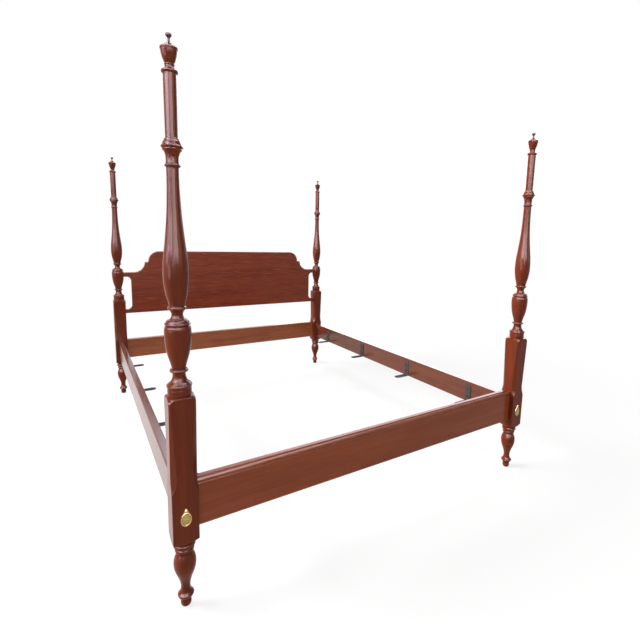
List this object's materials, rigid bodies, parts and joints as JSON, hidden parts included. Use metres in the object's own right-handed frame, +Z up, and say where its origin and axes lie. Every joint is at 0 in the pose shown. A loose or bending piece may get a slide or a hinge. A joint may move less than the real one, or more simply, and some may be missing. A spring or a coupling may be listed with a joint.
{
  "type": "semi poster bed frame",
  "caption": "Bed frame with turned mahogany corner posts, arched headboard, moulded foot rail, steel slat brackets and swinging brass bolt covers.",
  "frame": {"origin": "on the floor, midway between the four posts", "axes": "+Z up, +Y from the foot towards the headboard, +X towards the right seen from the foot"},
  "size_m": [1.676, 2.1694, 1.67],
  "materials": {
    "lacquered_mahogany": "glossy lacquer over red brown mahogany",
    "dark_bronze": "dark polished bronze",
    "cover_brass": "aged polished brass",
    "bolt_steel": "plain zinc plated steel",
    "black_steel": "satin black paint on steel strip"
  },
  "bodies": {
    "bed_frame": {"post_foot_left": "lacquered_mahogany", "post_foot_right": "lacquered_mahogany", "post_head_left": "lacquered_mahogany", "post_head_right": "lacquered_mahogany", "finial_foot_left": "lacquered_mahogany", "finial_foot_right": "lacquered_mahogany", "finial_head_left": "lacquered_mahogany", "finial_head_right": "lacquered_mahogany", "finial_tip_foot_left": "dark_bronze", "finial_tip_foot_right": "dark_bronze", "finial_tip_head_left": "dark_bronze", "finial_tip_head_right": "dark_bronze", "headboard": "lacquered_mahogany", "head_rail": "lacquered_mahogany", "foot_rail": "lacquered_mahogany", "side_rail_left": "lacquered_mahogany", "side_rail_right": "lacquered_mahogany", "bolt_cover_screws": "cover_brass", "bed_bolts": "bolt_steel", "bed_bolt_nuts": "bolt_steel", "slat_bracket_left_1": "black_steel", "slat_bracket_left_2": "black_steel", "slat_bracket_left_3": "black_steel", "slat_bracket_left_4": "black_steel", "slat_bracket_right_1": "black_steel", "slat_bracket_right_2": "black_steel", "slat_bracket_right_3": "black_steel", "slat_bracket_right_4": "black_steel"},
    "cover_foot_left": {"bolt_cover_foot_left": "cover_brass"},
    "cover_foot_right": {"bolt_cover_foot_right": "cover_brass"},
    "cover_head_left": {"bolt_cover_head_left": "cover_brass"},
    "cover_head_right": {"bolt_cover_head_right": "cover_brass"}
  },
  "joints": [
    {"name": "cover_swing_foot_left", "type": "hinge", "parent": "bed_frame", "child": "cover_foot_left", "pos_m": [-0.8, -1.0811, 0.3425], "axis": [0, 1, 0], "continuous": true},
    {"name": "cover_swing_foot_right", "type": "hinge", "parent": "bed_frame", "child": "cover_foot_right", "pos_m": [0.8, -1.0811, 0.3425], "axis": [0, 1, 0], "continuous": true},
    {"name": "cover_swing_head_left", "type": "hinge", "parent": "bed_frame", "child": "cover_head_left", "pos_m": [-0.8, 1.0811, 0.3425], "axis": [0, 1, 0], "continuous": true},
    {"name": "cover_swing_head_right", "type": "hinge", "parent": "bed_frame", "child": "cover_head_right", "pos_m": [0.8, 1.0811, 0.3425], "axis": [0, 1, 0], "continuous": true}
  ]
}
